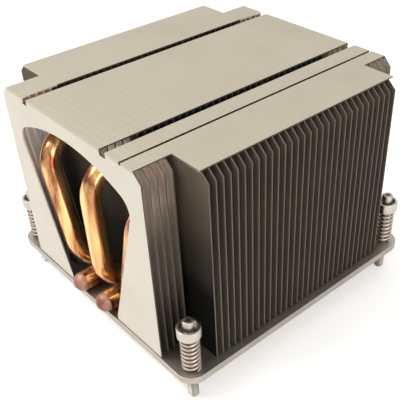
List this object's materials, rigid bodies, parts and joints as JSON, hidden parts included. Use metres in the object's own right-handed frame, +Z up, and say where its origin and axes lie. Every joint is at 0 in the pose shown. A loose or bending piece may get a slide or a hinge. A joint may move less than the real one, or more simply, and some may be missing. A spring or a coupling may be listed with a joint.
{
  "type": "passive server cpu heatsink",
  "caption": "Fanless server processor cooler: stacked folded fins, fanned heat pipes bent up through arched end windows, base block and a square bracket with sprung corner screws.",
  "frame": {"origin": "centre of the square screw pattern, in the plane of the four screw tips, at the bottom of the part", "axes": "+Z up, from the processor through the base to the fins' folded tops; +Y across the fins from the window with three upright heat pipes to the window with two; +X along the fins"},
  "size_m": [0.089, 0.094, 0.0695],
  "materials": {
    "fin_aluminium": "plain rolled sheet, satin",
    "pipe_copper": "bare copper tube, bright with slight heat tint",
    "base_copper": "milled copper, flat contact face",
    "bracket_steel": "nickel-plated steel sheet, satin",
    "screw_steel": "nickel-plated, bright",
    "spring_steel": "drawn spring wire"
  },
  "bodies": {
    "heatsink": {"base_block": "base_copper", "mounting_bracket": "bracket_steel", "heat_pipe_left": "pipe_copper", "heat_pipe_centre": "pipe_copper", "heat_pipe_right": "pipe_copper", "heat_pipe_rear_left": "pipe_copper", "heat_pipe_rear_right": "pipe_copper", "front_plate": "fin_aluminium", "front_fin_2": "fin_aluminium", "front_fin_3": "fin_aluminium", "front_fin_4": "fin_aluminium", "front_fin_5": "fin_aluminium", "wide_fin_01": "fin_aluminium", "wide_fin_02": "fin_aluminium", "wide_fin_03": "fin_aluminium", "wide_fin_04": "fin_aluminium", "wide_fin_05": "fin_aluminium", "wide_fin_06": "fin_aluminium", "wide_fin_07": "fin_aluminium", "wide_fin_08": "fin_aluminium", "wide_fin_09": "fin_aluminium", "wide_fin_10": "fin_aluminium", "wide_fin_11": "fin_aluminium", "wide_fin_12": "fin_aluminium", "wide_fin_13": "fin_aluminium", "wide_fin_14": "fin_aluminium", "wide_fin_15": "fin_aluminium", "wide_fin_16": "fin_aluminium", "wide_fin_17": "fin_aluminium", "wide_fin_18": "fin_aluminium", "wide_fin_19": "fin_aluminium", "wide_fin_20": "fin_aluminium", "wide_fin_21": "fin_aluminium", "wide_fin_22": "fin_aluminium", "wide_fin_23": "fin_aluminium", "wide_fin_24": "fin_aluminium", "wide_fin_25": "fin_aluminium", "wide_fin_26": "fin_aluminium", "wide_fin_27": "fin_aluminium", "wide_fin_28": "fin_aluminium", "wide_fin_29": "fin_aluminium", "wide_fin_30": "fin_aluminium", "wide_fin_31": "fin_aluminium", "rear_fin_1": "fin_aluminium", "rear_fin_2": "fin_aluminium", "rear_fin_3": "fin_aluminium", "rear_fin_4": "fin_aluminium", "rear_plate": "fin_aluminium", "spring_front_left": "spring_steel", "spring_front_right": "spring_steel", "spring_rear_left": "spring_steel", "spring_rear_right": "spring_steel"},
    "cup_front_left": {"cup_washer_front_left": "screw_steel"},
    "screw_front_left": {"screw_front_left": "screw_steel"},
    "cup_front_right": {"cup_washer_front_right": "screw_steel"},
    "screw_front_right": {"screw_front_right": "screw_steel"},
    "cup_rear_left": {"cup_washer_rear_left": "screw_steel"},
    "screw_rear_left": {"screw_rear_left": "screw_steel"},
    "cup_rear_right": {"cup_washer_rear_right": "screw_steel"},
    "screw_rear_right": {"screw_rear_right": "screw_steel"}
  },
  "joints": [
    {"name": "screw_slide_front_left", "type": "slide", "parent": "heatsink", "child": "cup_front_left", "axis": [0, 0, -1], "range_m": [0, 0.0035], "stiffness_N_per_m": 2000, "springref_m": -0.001, "deforming": ["spring_front_left"]},
    {"name": "screw_turn_front_left", "type": "hinge", "parent": "cup_front_left", "child": "screw_front_left", "pos_m": [-0.04, -0.04, 0], "axis": [0, 0, 1], "continuous": true},
    {"name": "screw_slide_front_right", "type": "slide", "parent": "heatsink", "child": "cup_front_right", "axis": [0, 0, -1], "range_m": [0, 0.0035], "stiffness_N_per_m": 2000, "springref_m": -0.001, "deforming": ["spring_front_right"]},
    {"name": "screw_turn_front_right", "type": "hinge", "parent": "cup_front_right", "child": "screw_front_right", "pos_m": [0.04, -0.04, 0], "axis": [0, 0, 1], "continuous": true},
    {"name": "screw_slide_rear_left", "type": "slide", "parent": "heatsink", "child": "cup_rear_left", "axis": [0, 0, -1], "range_m": [0, 0.0035], "stiffness_N_per_m": 2000, "springref_m": -0.001, "deforming": ["spring_rear_left"]},
    {"name": "screw_turn_rear_left", "type": "hinge", "parent": "cup_rear_left", "child": "screw_rear_left", "pos_m": [-0.04, 0.04, 0], "axis": [0, 0, 1], "continuous": true},
    {"name": "screw_slide_rear_right", "type": "slide", "parent": "heatsink", "child": "cup_rear_right", "axis": [0, 0, -1], "range_m": [0, 0.0035], "stiffness_N_per_m": 2000, "springref_m": -0.001, "deforming": ["spring_rear_right"]},
    {"name": "screw_turn_rear_right", "type": "hinge", "parent": "cup_rear_right", "child": "screw_rear_right", "pos_m": [0.04, 0.04, 0], "axis": [0, 0, 1], "continuous": true}
  ]
}
